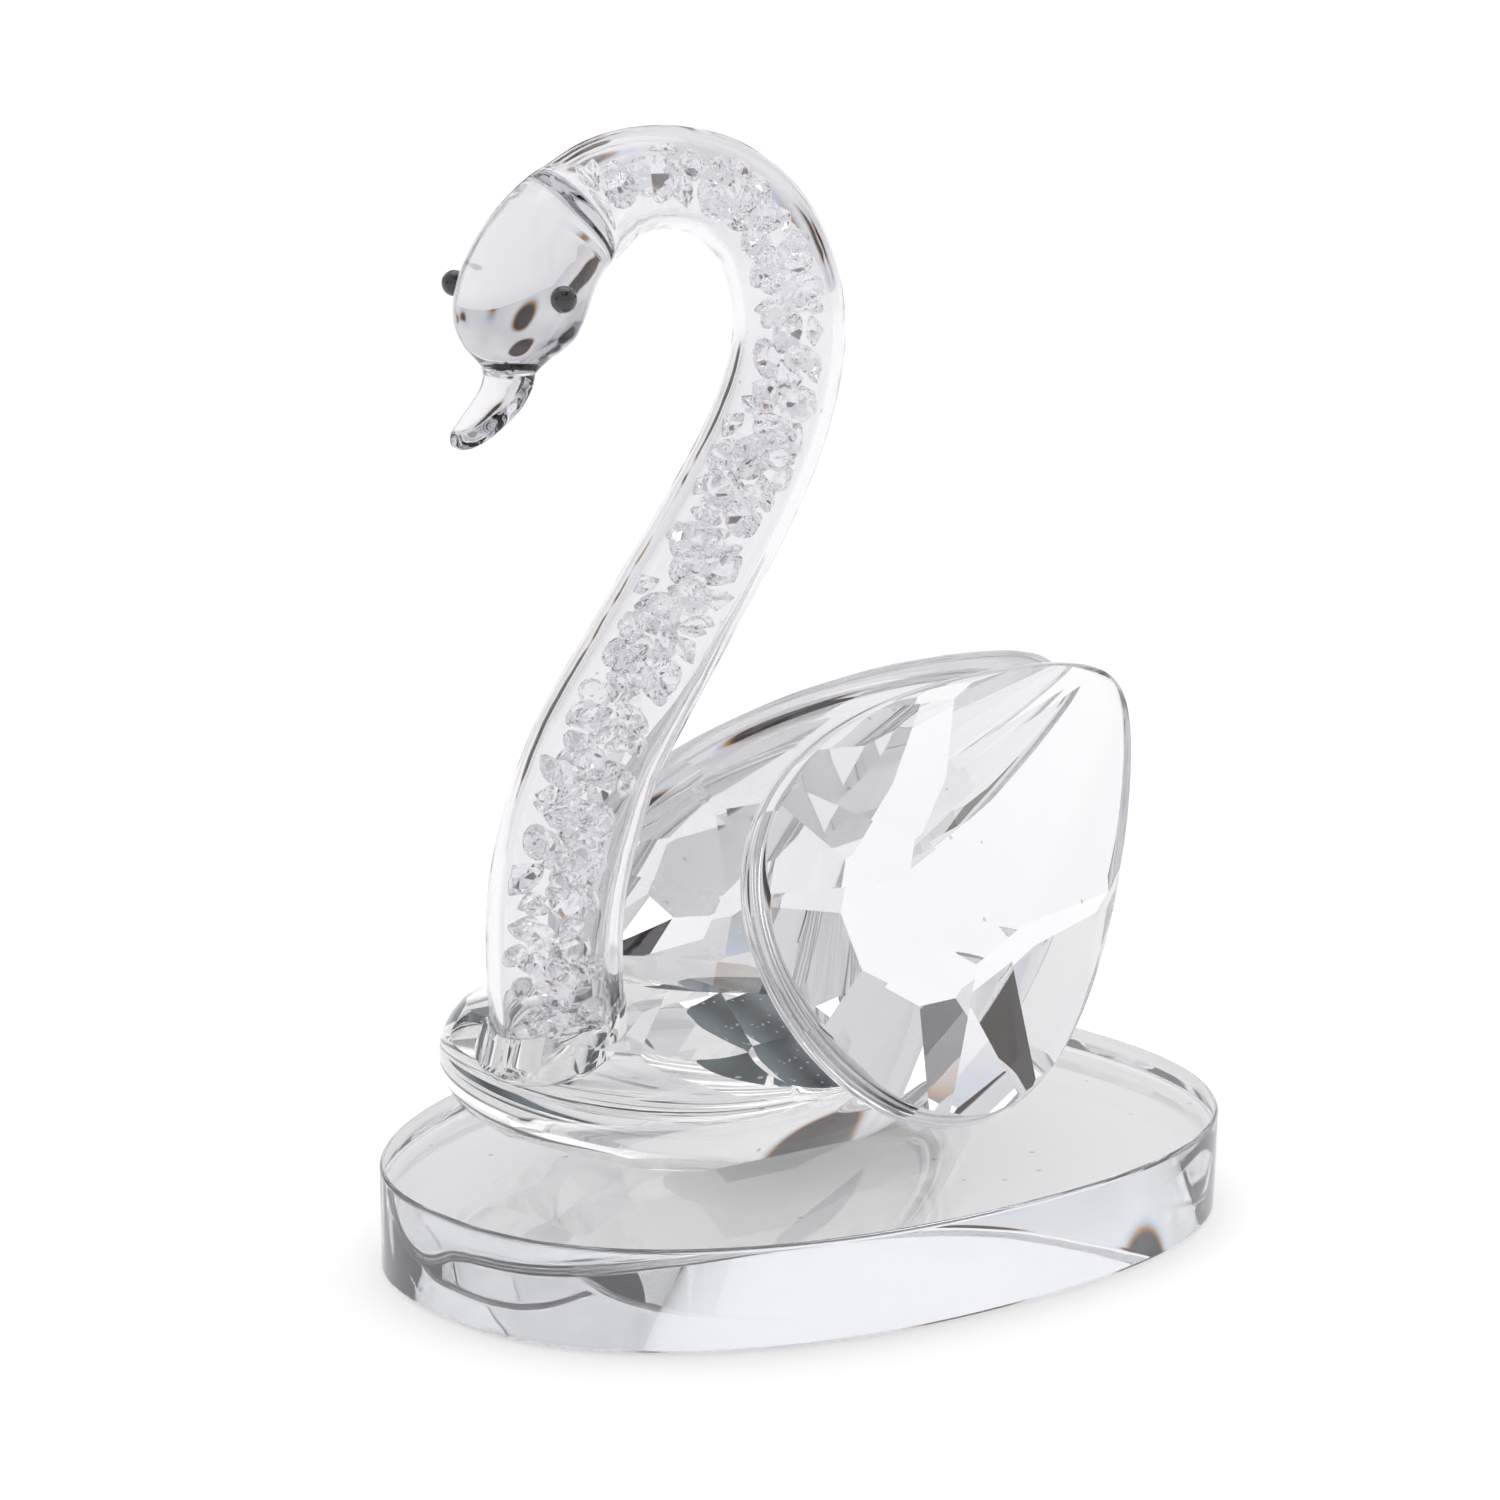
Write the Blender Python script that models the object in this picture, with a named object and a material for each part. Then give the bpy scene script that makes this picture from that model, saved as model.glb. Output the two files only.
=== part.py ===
"""Crystal glass swan figurine on an oval glass plinth.

Axes: the swan faces -Y, +X is the swan's left, +Z is up, and the plinth rests on z = 0.
The swan is glued up from three pear-shaped cut crystals (one lying flat as the body, two leaning
together as the wings), a lampworked glass neck packed with loose cut stones, a blown head with a
pulled beak, two black bead eyes and an oval plinth.
"""
import math
import random

import bmesh
import bpy
from mathutils import Matrix, Vector
from mathutils.bvhtree import BVHTree

MM = 0.001
GAP = 0.3                      # clearance left between touching pieces, mm

# Plinth: an egg-shaped slab, slightly wider under the tail
PLINTH_HALF_LENGTH = 50.0
PLINTH_HALF_WIDTH = 36.6
PLINTH_THICKNESS = 11.1
PLINTH_POWER = 2.31            # superellipse exponent of the outline
PLINTH_EGG = 0.115             # how much wider the tail end is than the breast end
PLINTH_CHAMFER = 0.35
PLINTH_SIDES = 96

# Pear-shaped cut crystals: one outline for the body and both wings
PEAR_LENGTH = 70.4
PEAR_TAPER = 0.46              # 0 is an ellipse, towards 1 the tail end becomes a point
PEAR_SIDES = 64
PEAR_HEART = -10.6             # place of the crown centre along the long axis
MAIN_ANGLES = (44.0, 82.0, 118.0, 154.0)
BREAK_ANGLES = (14.0, 33.0, 56.0, 72.0, 92.0, 110.0, 130.0, 150.0, 171.0)
BREAK_RISE = 0.60              # height the rim facets climb, as a share of the crown
BREAK_REACH = 0.78             # how far in they climb, as a share of the half width

# Size of one cut crystal, mm: width, girdle half thickness, table height and table reach
BODY_CUT = (43.6, 4.4, 9.7, 9.0)
BODY_CENTRE_Y = -8.9
WING_SEAT_NORMAL = (0.691, 0.208, 0.692)   # flat ground on each shoulder of the body for a wing
WING_SEAT_REACH = 27.3
WING_CUT = (44.0, 1.9, 7.4, 8.0)
WING_CENTRE = (12.75, 13.5, 41.4)
WING_LEAN = 30.0               # degrees the wing planes lean together at the top
WING_YAW = 1.4
WING_RISE = 26.8               # degrees the tail tip is lifted above the horizontal

# Clear adhesive between the body and the plinth
ADHESIVE_THICKNESS = 0.3
ADHESIVE_CENTRE_Y = 2.0
ADHESIVE_HALF_LENGTH = 16.0
ADHESIVE_HALF_WIDTH = 7.0

# Neck tube: (y, z, outer radius) along the centre line, from foot to head
NECK_PATH = (
    (-34.4, 27.6, 7.0), (-34.8, 33.0, 7.1), (-35.0, 38.0, 7.15), (-34.6, 43.0, 7.2),
    (-33.4, 48.0, 7.2), (-31.5, 53.0, 7.15), (-28.9, 58.0, 7.05), (-25.4, 62.6, 6.95),
    (-21.6, 67.3, 6.85), (-16.5, 73.7, 6.75), (-11.4, 80.1, 6.6), (-6.8, 86.8, 6.4),
    (-3.7, 93.6, 6.15), (-2.7, 99.3, 6.0), (-3.8, 104.8, 5.85), (-6.9, 110.0, 5.65),
    (-12.4, 114.0, 5.45), (-18.2, 115.7, 5.3), (-23.6, 115.9, 5.35), (-28.2, 114.9, 5.6),
    (-32.2, 112.8, 5.9),
)
NECK_WALL = 1.35
NECK_STEPS = 42
NECK_SIDES = 24
FOOT_CAP_HEIGHT = 2.2
SEAT_RADIUS = 7.5              # drilled seat in the body that takes the foot of the neck

# Head and beak: (y, z, half width across, half depth) along the same line
HEAD_PATH = (
    (-32.52, 112.64, 5.9, 5.9), (-33.6, 112.07, 6.05, 6.0), (-35.8, 110.3, 6.45, 6.15),
    (-37.9, 107.8, 7.1, 6.15), (-39.4, 105.0, 7.6, 6.0), (-40.4, 102.3, 7.0, 5.7),
    (-40.8, 100.4, 5.5, 4.9), (-40.95, 98.9, 3.8, 3.5), (-41.05, 97.9, 3.1, 2.5),
)
BEAK_PATH = (
    (-41.09, 97.55, 3.05, 2.4), (-41.2, 96.8, 3.0, 2.25), (-42.1, 95.2, 2.85, 2.0),
    (-43.8, 93.6, 2.7, 1.7), (-45.7, 92.2, 2.4, 1.4), (-47.1, 91.4, 1.75, 1.05),
    (-47.8, 91.05, 0.9, 0.55),
)
HEAD_STEPS = 16
BEAK_STEPS = 12
HEAD_SIDES = 24

EYE_RADIUS = 1.35
EYE_CENTRE = (8.5, -41.1, 105.8)

# Loose stones: small round brilliants with a flat table and a pointed back
STONE_COUNT = 46
STONE_DIAMETER = 4.7
STONE_TRIES = 900
STONE_CLEARANCE = 0.3
STONE_SIDES = 8
STONE_SEED = 7


def clear_scene():
    """Remove every object that is already in the scene."""
    for obj in list(bpy.data.objects):
        bpy.data.objects.remove(obj, do_unlink=True)


def glass_material(name, colour, roughness):
    """Plain material with the colour and roughness of one kind of glass."""
    material = bpy.data.materials.new(name)
    material.use_nodes = True
    shader = material.node_tree.nodes["Principled BSDF"]
    shader.inputs["Base Color"].default_value = colour
    shader.inputs["Roughness"].default_value = roughness
    shader.inputs["Metallic"].default_value = 0.0
    return material


def add_object(name, bm, material, smooth=False):
    """Turn a bmesh in millimetres into a named object in metres."""
    bmesh.ops.recalc_face_normals(bm, faces=bm.faces[:])
    bmesh.ops.scale(bm, vec=(MM, MM, MM), verts=bm.verts[:])
    mesh = bpy.data.meshes.new(name)
    bm.to_mesh(mesh)
    bm.free()
    mesh.polygons.foreach_set("use_smooth", [smooth] * len(mesh.polygons))
    mesh.materials.append(material)
    obj = bpy.data.objects.new(name, mesh)
    bpy.context.scene.collection.objects.link(obj)
    return obj


def signed_power(value, power):
    """Power of the size of a number that keeps its sign."""
    return math.copysign(abs(value) ** power, value)


def smooth_path(points, steps):
    """Evenly spaced Catmull-Rom samples through rows of numbers; the first two are y and z."""
    rows = [points[0]] + list(points) + [points[-1]]
    dense = []
    for index in range(1, len(rows) - 2):
        for part in range(24):
            dense.append(catmull_rom(rows[index - 1:index + 3], part / 24.0))
    dense.append(tuple(points[-1]))
    lengths = [0.0]
    for before, after in zip(dense, dense[1:]):
        lengths.append(lengths[-1] + math.dist(before[:2], after[:2]))
    samples = []
    cursor = 0
    for step in range(steps + 1):
        target = lengths[-1] * step / steps
        while cursor < len(dense) - 2 and lengths[cursor + 1] < target:
            cursor += 1
        span = lengths[cursor + 1] - lengths[cursor]
        share = (target - lengths[cursor]) / span
        samples.append(tuple(a + (b - a) * share for a, b in zip(dense[cursor], dense[cursor + 1])))
    return samples


def catmull_rom(rows, t):
    """One point of a Catmull-Rom curve between the second and third of four rows."""
    result = []
    for p0, p1, p2, p3 in zip(*rows):
        linear = (p2 - p0) * t
        square = (2 * p0 - 5 * p1 + 4 * p2 - p3) * t * t
        cube = (3 * p1 - p0 - 3 * p2 + p3) * t ** 3
        result.append(0.5 * (2 * p1 + linear + square + cube))
    return tuple(result)


def path_frames(samples):
    """Centre and in-plane normal at each sample of a path in the x = 0 plane."""
    frames = []
    for index, row in enumerate(samples):
        before = samples[max(index - 1, 0)]
        after = samples[min(index + 1, len(samples) - 1)]
        tangent = Vector((0.0, after[0] - before[0], after[1] - before[1])).normalized()
        normal = Vector((0.0, -tangent.z, tangent.y))
        frames.append((Vector((0.0, row[0], row[1])), normal, tangent))
    return frames


def add_ring(bm, centre, normal, half_width, half_depth, sides):
    """Closed elliptical ring of vertices across a path."""
    ring = []
    for side in range(sides):
        angle = 2.0 * math.pi * side / sides
        offset = Vector((half_width * math.cos(angle), 0.0, 0.0)) + normal * (half_depth * math.sin(angle))
        ring.append(bm.verts.new(centre + offset))
    return ring


def bridge(bm, first, second):
    """Band of quads between two rings with the same number of vertices."""
    count = len(first)
    for index in range(count):
        after = (index + 1) % count
        bm.faces.new((first[index], first[after], second[after], second[index]))


def plinth_outline(inset, sides=PLINTH_SIDES):
    """Egg-shaped outline of the plinth, pulled in by a small inset."""
    power = 2.0 / PLINTH_POWER
    outline = []
    for side in range(sides):
        angle = 2.0 * math.pi * side / sides
        along = signed_power(math.sin(angle), power)
        across = signed_power(math.cos(angle), power) * (1.0 + PLINTH_EGG * along)
        outline.append(((PLINTH_HALF_WIDTH - inset) * across, (PLINTH_HALF_LENGTH - inset) * along))
    return outline


def build_base_plate(material):
    """Oval plinth with a fine ground chamfer on both edges."""
    bm = bmesh.new()
    levels = (
        (0.0, PLINTH_CHAMFER), (PLINTH_CHAMFER, 0.0),
        (PLINTH_THICKNESS - PLINTH_CHAMFER, 0.0), (PLINTH_THICKNESS, PLINTH_CHAMFER),
    )
    rings = []
    for height, inset in levels:
        rings.append([bm.verts.new((x, y, height)) for x, y in plinth_outline(inset)])
    for lower, upper in zip(rings, rings[1:]):
        bridge(bm, lower, upper)
    bm.faces.new(rings[0][::-1])
    bm.faces.new(rings[-1])
    return add_object("base_plate", bm, material)


def pear_shoulder(angle):
    """Half width of the pear before it is scaled to its widest place."""
    return math.sin(angle) * (1.0 - PEAR_TAPER * math.cos(angle))


PEAR_PEAK = max(pear_shoulder(math.pi * step / 180.0) for step in range(181))


def pear_outline(width, sides):
    """Points of the pear outline as (u, w); the tail tip is the first."""
    outline = []
    for side in range(sides):
        angle = 2.0 * math.pi * side / sides
        across = 0.5 * width * pear_shoulder(angle) / PEAR_PEAK
        outline.append((0.5 * PEAR_LENGTH * math.cos(angle), across))
    return outline


def pear_support(direction, outline):
    """Distance from the crown centre to the outline's tangent in one direction."""
    cosine = math.cos(direction)
    sine = math.sin(direction)
    return max((u - PEAR_HEART) * cosine + w * sine for u, w in outline)


def cut_away(bm, point, normal):
    """Slice off everything beyond a plane and close the cut with one flat facet."""
    geometry = bm.verts[:] + bm.edges[:] + bm.faces[:]
    result = bmesh.ops.bisect_plane(bm, geom=geometry, dist=1e-5, plane_co=point, plane_no=normal,
                                    clear_outer=True)
    rim = [item for item in result["geom_cut"] if isinstance(item, bmesh.types.BMEdge)]
    if rim:
        bmesh.ops.contextual_create(bm, geom=rim)


def crown_planes(cut):
    """Facet planes of one side of a pear crystal as (point, normal) pairs in (u, w, n)."""
    width, girdle, crown, table_reach = cut
    outline = pear_outline(width, 180)
    planes = [(Vector((0.0, 0.0, crown)), Vector((0.0, 0.0, 1.0)))]
    mains = [(0.0, 0.0)] + [(sign * angle, table_reach) for angle in MAIN_ANGLES for sign in (-1.0, 1.0)]
    for degrees, reach in mains:
        planes.append(facet_plane(degrees, reach, girdle, crown - girdle, outline))
    for degrees in BREAK_ANGLES:
        reach = BREAK_REACH * pear_support(math.radians(degrees), outline)
        for sign in (-1.0, 1.0):
            planes.append(facet_plane(sign * degrees, reach, girdle, BREAK_RISE * (crown - girdle), outline))
    return planes


def facet_plane(degrees, reach, girdle, rise, outline):
    """Plane that climbs from the girdle edge to the given rise at the given reach."""
    direction = math.radians(degrees)
    distance = pear_support(direction, outline)
    cosine = math.cos(direction)
    sine = math.sin(direction)
    point = Vector((PEAR_HEART + distance * cosine, distance * sine, girdle))
    normal = Vector((rise * cosine, rise * sine, distance - reach)).normalized()
    return point, normal


def pear_crystal(cut):
    """Pear-shaped crystal cut the same on both faces, in its own (u, w, n) frame."""
    width, _, crown, _ = cut
    bm = bmesh.new()
    rings = []
    for height in (-crown, crown):
        rings.append([bm.verts.new((u, w, height)) for u, w in pear_outline(width, PEAR_SIDES)])
    bridge(bm, rings[0], rings[1])
    bm.faces.new(rings[0][::-1])
    bm.faces.new(rings[1])
    for point, normal in crown_planes(cut):
        cut_away(bm, point, normal)
        cut_away(bm, Vector((point.x, point.y, -point.z)), Vector((normal.x, normal.y, -normal.z)))
    bmesh.ops.remove_doubles(bm, verts=bm.verts[:], dist=0.02)
    return bm


def place(bm, axis_u, axis_w, axis_n, origin):
    """Move a crystal from its own (u, w, n) frame to the figurine's frame."""
    turn = Matrix((axis_u, axis_w, axis_n)).transposed().to_4x4()
    bm.transform(Matrix.Translation(origin) @ turn)


def body_frame():
    """Axes and origin of the body crystal: its long underside facet lies flat on the adhesive."""
    width, girdle, crown, _ = BODY_CUT
    pitch = math.atan((crown - girdle) / pear_support(0.0, pear_outline(width, 180)))
    axis_u = Vector((0.0, math.cos(pitch), -math.sin(pitch)))
    axis_w = Vector((-1.0, 0.0, 0.0))
    axis_n = axis_u.cross(axis_w)
    floor = PLINTH_THICKNESS + ADHESIVE_THICKNESS + 2.0 * GAP
    height = floor + 0.5 * PEAR_LENGTH * math.sin(pitch) + girdle * math.cos(pitch)
    return axis_u, axis_w, axis_n, Vector((0.0, BODY_CENTRE_Y, height))


def wing_frame():
    """Axes and origin of the left wing crystal; its outer face looks out and up."""
    lean = math.radians(WING_LEAN)
    yaw = math.radians(WING_YAW)
    rise = math.radians(WING_RISE)
    axis_n = Vector((math.cos(lean) * math.cos(yaw), math.cos(lean) * math.sin(yaw), math.sin(lean)))
    level = Vector((-axis_n.y, axis_n.x, 0.0)).normalized()
    upward = axis_n.cross(level)
    axis_u = math.cos(rise) * level + math.sin(rise) * upward
    axis_w = axis_n.cross(axis_u)
    return axis_u, axis_w, axis_n, Vector(WING_CENTRE)


def build_body(material):
    """Body crystal lying flat, with a drilled seat for the neck and a ground flat for each wing."""
    bm = pear_crystal(BODY_CUT)
    place(bm, *body_frame())
    for side in (-1.0, 1.0):
        normal = Vector((side * WING_SEAT_NORMAL[0], WING_SEAT_NORMAL[1], WING_SEAT_NORMAL[2])).normalized()
        cut_away(bm, normal * WING_SEAT_REACH, normal)
    body = add_object("body_crystal", bm, material)
    centre, _, tangent = neck_foot_frame()
    floor = centre - tangent * (GAP + FOOT_CAP_HEIGHT + ADHESIVE_THICKNESS + 2.0 * GAP)
    cut_hole(body, "seat_cutter", floor, tangent, SEAT_RADIUS, 12.0)
    return body


def build_wings(material):
    """Left wing crystal and its mirror image on the right."""
    for name, side in (("left_wing", 1.0), ("right_wing", -1.0)):
        bm = pear_crystal(WING_CUT)
        place(bm, *wing_frame())
        bmesh.ops.scale(bm, vec=(side, 1.0, 1.0), verts=bm.verts[:])
        add_object(name, bm, material)


def cut_hole(target, name, floor, direction, radius, depth):
    """Drill a round hole with an exact Boolean and a hidden cylinder."""
    bm = bmesh.new()
    side = Vector((1.0, 0.0, 0.0))
    normal = direction.cross(side)
    rings = []
    for height in (0.0, depth):
        ring = []
        for step in range(NECK_SIDES):
            angle = 2.0 * math.pi * step / NECK_SIDES
            offset = side * math.cos(angle) + normal * math.sin(angle)
            ring.append(bm.verts.new(floor + direction * height + offset * radius))
        rings.append(ring)
    bridge(bm, rings[0], rings[1])
    bm.faces.new(rings[0][::-1])
    bm.faces.new(rings[1])
    hide_cutter(add_object(name, bm, target.data.materials[0]), target)


def hide_cutter(cutter, target):
    """Subtract a cutter from its target and keep the cutter out of sight."""
    cutter.hide_render = True
    cutter.display_type = "WIRE"
    boolean = target.modifiers.new(cutter.name, "BOOLEAN")
    boolean.operation = "DIFFERENCE"
    boolean.solver = "EXACT"
    boolean.object = cutter


def neck_samples():
    """Samples of the neck centre line with the outer radius."""
    return smooth_path(NECK_PATH, NECK_STEPS)


def neck_foot_frame():
    """Centre, in-plane normal and tangent at the foot of the neck."""
    return path_frames(neck_samples())[0]


def build_neck(material):
    """Curved glass tube, open at both ends."""
    bm = bmesh.new()
    samples = neck_samples()
    outer = []
    inner = []
    for (centre, normal, _), row in zip(path_frames(samples), samples):
        outer.append(add_ring(bm, centre, normal, row[2], row[2], NECK_SIDES))
        bore = row[2] - NECK_WALL
        inner.append(add_ring(bm, centre, normal, bore, bore, NECK_SIDES))
    for before, after in zip(outer, outer[1:]):
        bridge(bm, before, after)
    for before, after in zip(inner, inner[1:]):
        bridge(bm, after, before)
    bridge(bm, inner[0], outer[0])
    bridge(bm, outer[-1], inner[-1])
    add_object("neck_tube", bm, material, smooth=True)


def build_foot_cap(material):
    """Rounded glass cap that closes the foot of the neck tube."""
    bm = bmesh.new()
    centre, normal, tangent = neck_foot_frame()
    radius = NECK_PATH[0][2]
    profile = ((0.0, 1.0), (0.25, 1.0), (0.55, 0.96), (0.8, 0.87), (1.0, 0.66))
    rings = []
    for depth, share in profile:
        below = centre - tangent * (GAP + depth * FOOT_CAP_HEIGHT)
        rings.append(add_ring(bm, below, normal, radius * share, radius * share, NECK_SIDES))
    for before, after in zip(rings, rings[1:]):
        bridge(bm, before, after)
    bm.faces.new(rings[0])
    bm.faces.new(rings[-1][::-1])
    add_object("foot_cap", bm, material, smooth=True)


def sweep_solid(name, path, steps, material, joint):
    """Solid swept along a path with elliptical sections; it starts a gap beyond a flat joint."""
    bm = bmesh.new()
    samples = smooth_path(path, steps)
    frames = path_frames(samples)
    centre, normal, tangent = joint
    frames[0] = (centre + tangent * GAP, normal, tangent)
    rings = []
    for (centre, normal, _), row in zip(frames, samples):
        rings.append(add_ring(bm, centre, normal, row[2], row[3], HEAD_SIDES))
    for before, after in zip(rings, rings[1:]):
        bridge(bm, before, after)
    bm.faces.new(rings[0][::-1])
    bm.faces.new(rings[-1])
    return add_object(name, bm, material, smooth=True), frames[-1]


def ball(centre, radius):
    """Round ball as a bmesh in millimetres."""
    bm = bmesh.new()
    bmesh.ops.create_uvsphere(bm, u_segments=20, v_segments=12, radius=radius)
    bm.transform(Matrix.Translation(centre))
    return bm


def build_head(glass, black):
    """Head with a socket for each black bead eye, and the flattened beak."""
    neck_end = path_frames(neck_samples())[-1]
    head, head_end = sweep_solid("head", HEAD_PATH, HEAD_STEPS, glass, neck_end)
    sweep_solid("beak", BEAK_PATH, BEAK_STEPS, glass, head_end)
    for name, side in (("left_eye", 1.0), ("right_eye", -1.0)):
        centre = Vector((side * EYE_CENTRE[0], EYE_CENTRE[1], EYE_CENTRE[2]))
        socket = add_object(name + "_cutter", ball(centre, EYE_RADIUS + GAP), glass)
        hide_cutter(socket, head)
        add_object(name, ball(centre, EYE_RADIUS), black, smooth=True)


def stone_points():
    """Corners of a small round brilliant: table, girdle and the point at the back."""
    radius = 0.5 * STONE_DIAMETER
    points = []
    for share, height in ((0.56, 0.36), (1.0, 0.04), (1.0, -0.04)):
        for step in range(STONE_SIDES):
            angle = 2.0 * math.pi * step / STONE_SIDES
            reach = share * radius
            points.append(Vector((reach * math.cos(angle), reach * math.sin(angle), height * radius)))
    points.append(Vector((0.0, 0.0, -0.86 * radius)))
    return points


def stone_faces():
    """Faces of the small brilliant as vertex index tuples."""
    faces = [tuple(range(STONE_SIDES))]
    tip = 3 * STONE_SIDES
    for step in range(STONE_SIDES):
        after = (step + 1) % STONE_SIDES
        for ring in (STONE_SIDES, 2 * STONE_SIDES):
            faces.append((ring + step, ring + after, ring + after - STONE_SIDES, ring + step - STONE_SIDES))
        faces.append((tip - STONE_SIDES + after, tip - STONE_SIDES + step, tip))
    return faces


def random_turn(dice):
    """Random rotation matrix from three random numbers."""
    tilt = Matrix.Rotation(math.acos(dice.uniform(-1.0, 1.0)), 3, "X")
    roll = Matrix.Rotation(dice.uniform(0.0, 2.0 * math.pi), 3, "Z")
    spin = Matrix.Rotation(dice.uniform(0.0, 2.0 * math.pi), 3, "Z")
    return roll @ tilt @ spin


def fits_bore(corners, samples, index):
    """True when every corner of a stone stays inside the bore with a little clearance."""
    for corner in corners:
        nearby = samples[max(0, index - 16):index + 17]
        row = min(nearby, key=lambda item: (item[0] - corner.y) ** 2 + (item[1] - corner.z) ** 2)
        distance = math.sqrt(corner.x ** 2 + (row[0] - corner.y) ** 2 + (row[1] - corner.z) ** 2)
        if distance > row[2] - NECK_WALL - GAP:
            return False
    return True


def stands_clear(origin, corners, faces, placed):
    """True when a stone, grown by the clearance, crosses none of the stones already placed."""
    growth = 1.0 + 2.0 * STONE_CLEARANCE / STONE_DIAMETER
    grown = [origin + (corner - origin) * growth for corner in corners]
    tree = BVHTree.FromPolygons(grown, faces)
    for other, other_corners in placed:
        distance = (other - origin).length
        if distance < 0.5 * STONE_DIAMETER:
            return False
        if distance < STONE_DIAMETER + STONE_CLEARANCE:
            if tree.overlap(BVHTree.FromPolygons(other_corners, faces)):
                return False
    return True


def place_stones():
    """Loose stones at random angles in the bore, one every few millimetres, never touching."""
    dice = random.Random(STONE_SEED)
    samples = smooth_path(NECK_PATH, 400)
    frames = path_frames(samples)
    faces = stone_faces()
    points = stone_points()
    placed = []
    for number in range(STONE_COUNT):
        aim = 10 + 380.0 * number / (STONE_COUNT - 1)
        for _ in range(STONE_TRIES):
            index = min(392, max(8, round(aim + dice.uniform(-5.0, 5.0))))
            centre, normal, _ = frames[index]
            room = samples[index][2] - NECK_WALL - 0.45 * STONE_DIAMETER
            angle = dice.uniform(0.0, 2.0 * math.pi)
            radius = room * math.sqrt(dice.random())
            origin = centre + Vector((radius * math.cos(angle), 0.0, 0.0)) + normal * (radius * math.sin(angle))
            spin = random_turn(dice)
            corners = [origin + spin @ point for point in points]
            if fits_bore(corners, samples, index) and stands_clear(origin, corners, faces, placed):
                placed.append((origin, corners))
                break
    return placed


def build_stones(material):
    """Loose stones in the neck, each one its own object."""
    faces = stone_faces()
    for number, (_, corners) in enumerate(place_stones()):
        bm = bmesh.new()
        verts = [bm.verts.new(corner) for corner in corners]
        for face in faces:
            bm.faces.new([verts[index] for index in face])
        add_object(f"stone_{number + 1:02d}", bm, material)


def build_body_adhesive(material):
    """Thin clear adhesive film between the body crystal and the plinth."""
    bm = bmesh.new()
    rings = []
    for height in (PLINTH_THICKNESS + GAP, PLINTH_THICKNESS + GAP + ADHESIVE_THICKNESS):
        ring = []
        for side in range(40):
            angle = 2.0 * math.pi * side / 40.0
            ring.append(bm.verts.new((ADHESIVE_HALF_WIDTH * math.cos(angle),
                                      ADHESIVE_CENTRE_Y + ADHESIVE_HALF_LENGTH * math.sin(angle), height)))
        rings.append(ring)
    bridge(bm, rings[0], rings[1])
    bm.faces.new(rings[0][::-1])
    bm.faces.new(rings[1])
    add_object("body_adhesive", bm, material)


def build_seat_adhesive(material):
    """Disc of adhesive under the foot of the neck."""
    bm = bmesh.new()
    centre, normal, tangent = neck_foot_frame()
    top = centre - tangent * (GAP + FOOT_CAP_HEIGHT + GAP)
    rings = []
    for depth in (0.0, ADHESIVE_THICKNESS):
        radius = 0.62 * NECK_PATH[0][2]
        rings.append(add_ring(bm, top - tangent * depth, normal, radius, radius, NECK_SIDES))
    bridge(bm, rings[0], rings[1])
    bm.faces.new(rings[0])
    bm.faces.new(rings[1][::-1])
    add_object("seat_adhesive", bm, material)


def main():
    """Build every sub-part of the figurine."""
    clear_scene()
    plinth_glass = glass_material("plinth_glass", (0.90, 0.95, 0.96, 1.0), 0.03)
    crystal_glass = glass_material("crystal_glass", (0.95, 0.97, 0.97, 1.0), 0.02)
    tube_glass = glass_material("tube_glass", (0.96, 0.96, 0.97, 1.0), 0.03)
    stone_glass = glass_material("stone_glass", (0.93, 0.93, 0.95, 1.0), 0.02)
    black_glass = glass_material("black_glass", (0.01, 0.01, 0.01, 1.0), 0.05)
    adhesive = glass_material("clear_adhesive", (0.62, 0.74, 0.76, 1.0), 0.15)
    build_base_plate(plinth_glass)
    build_body(crystal_glass)
    build_wings(crystal_glass)
    build_neck(tube_glass)
    build_foot_cap(tube_glass)
    build_head(tube_glass, black_glass)
    build_stones(stone_glass)
    build_body_adhesive(adhesive)
    build_seat_adhesive(adhesive)


main()
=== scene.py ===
"""Looks of the crystal glass swan figurine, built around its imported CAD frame.

Axes: the swan faces -Y, +X is the swan's left, +Z is up, and the plinth rests on z = 0.
Shape constants are in millimetres and repeat the CAD source; meshes are made in metres.
"""

import math
import random

import bmesh
import bpy
import numpy as np
from mathutils import Matrix, Vector
from mathutils.bvhtree import BVHTree


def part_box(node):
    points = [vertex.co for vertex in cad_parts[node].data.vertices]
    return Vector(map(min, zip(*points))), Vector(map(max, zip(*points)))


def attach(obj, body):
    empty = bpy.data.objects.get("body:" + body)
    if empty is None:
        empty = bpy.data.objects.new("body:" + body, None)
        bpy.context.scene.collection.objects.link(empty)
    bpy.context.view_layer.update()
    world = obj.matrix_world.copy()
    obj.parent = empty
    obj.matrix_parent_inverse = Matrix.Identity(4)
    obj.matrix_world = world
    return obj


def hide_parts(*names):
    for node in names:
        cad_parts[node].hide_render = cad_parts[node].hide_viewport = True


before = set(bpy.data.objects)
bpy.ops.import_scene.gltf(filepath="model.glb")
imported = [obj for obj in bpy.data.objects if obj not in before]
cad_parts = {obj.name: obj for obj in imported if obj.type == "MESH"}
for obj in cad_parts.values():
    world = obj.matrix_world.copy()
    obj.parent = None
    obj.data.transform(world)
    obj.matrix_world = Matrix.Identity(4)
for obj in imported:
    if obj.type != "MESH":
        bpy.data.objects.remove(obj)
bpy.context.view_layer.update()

MM = 0.001

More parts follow.
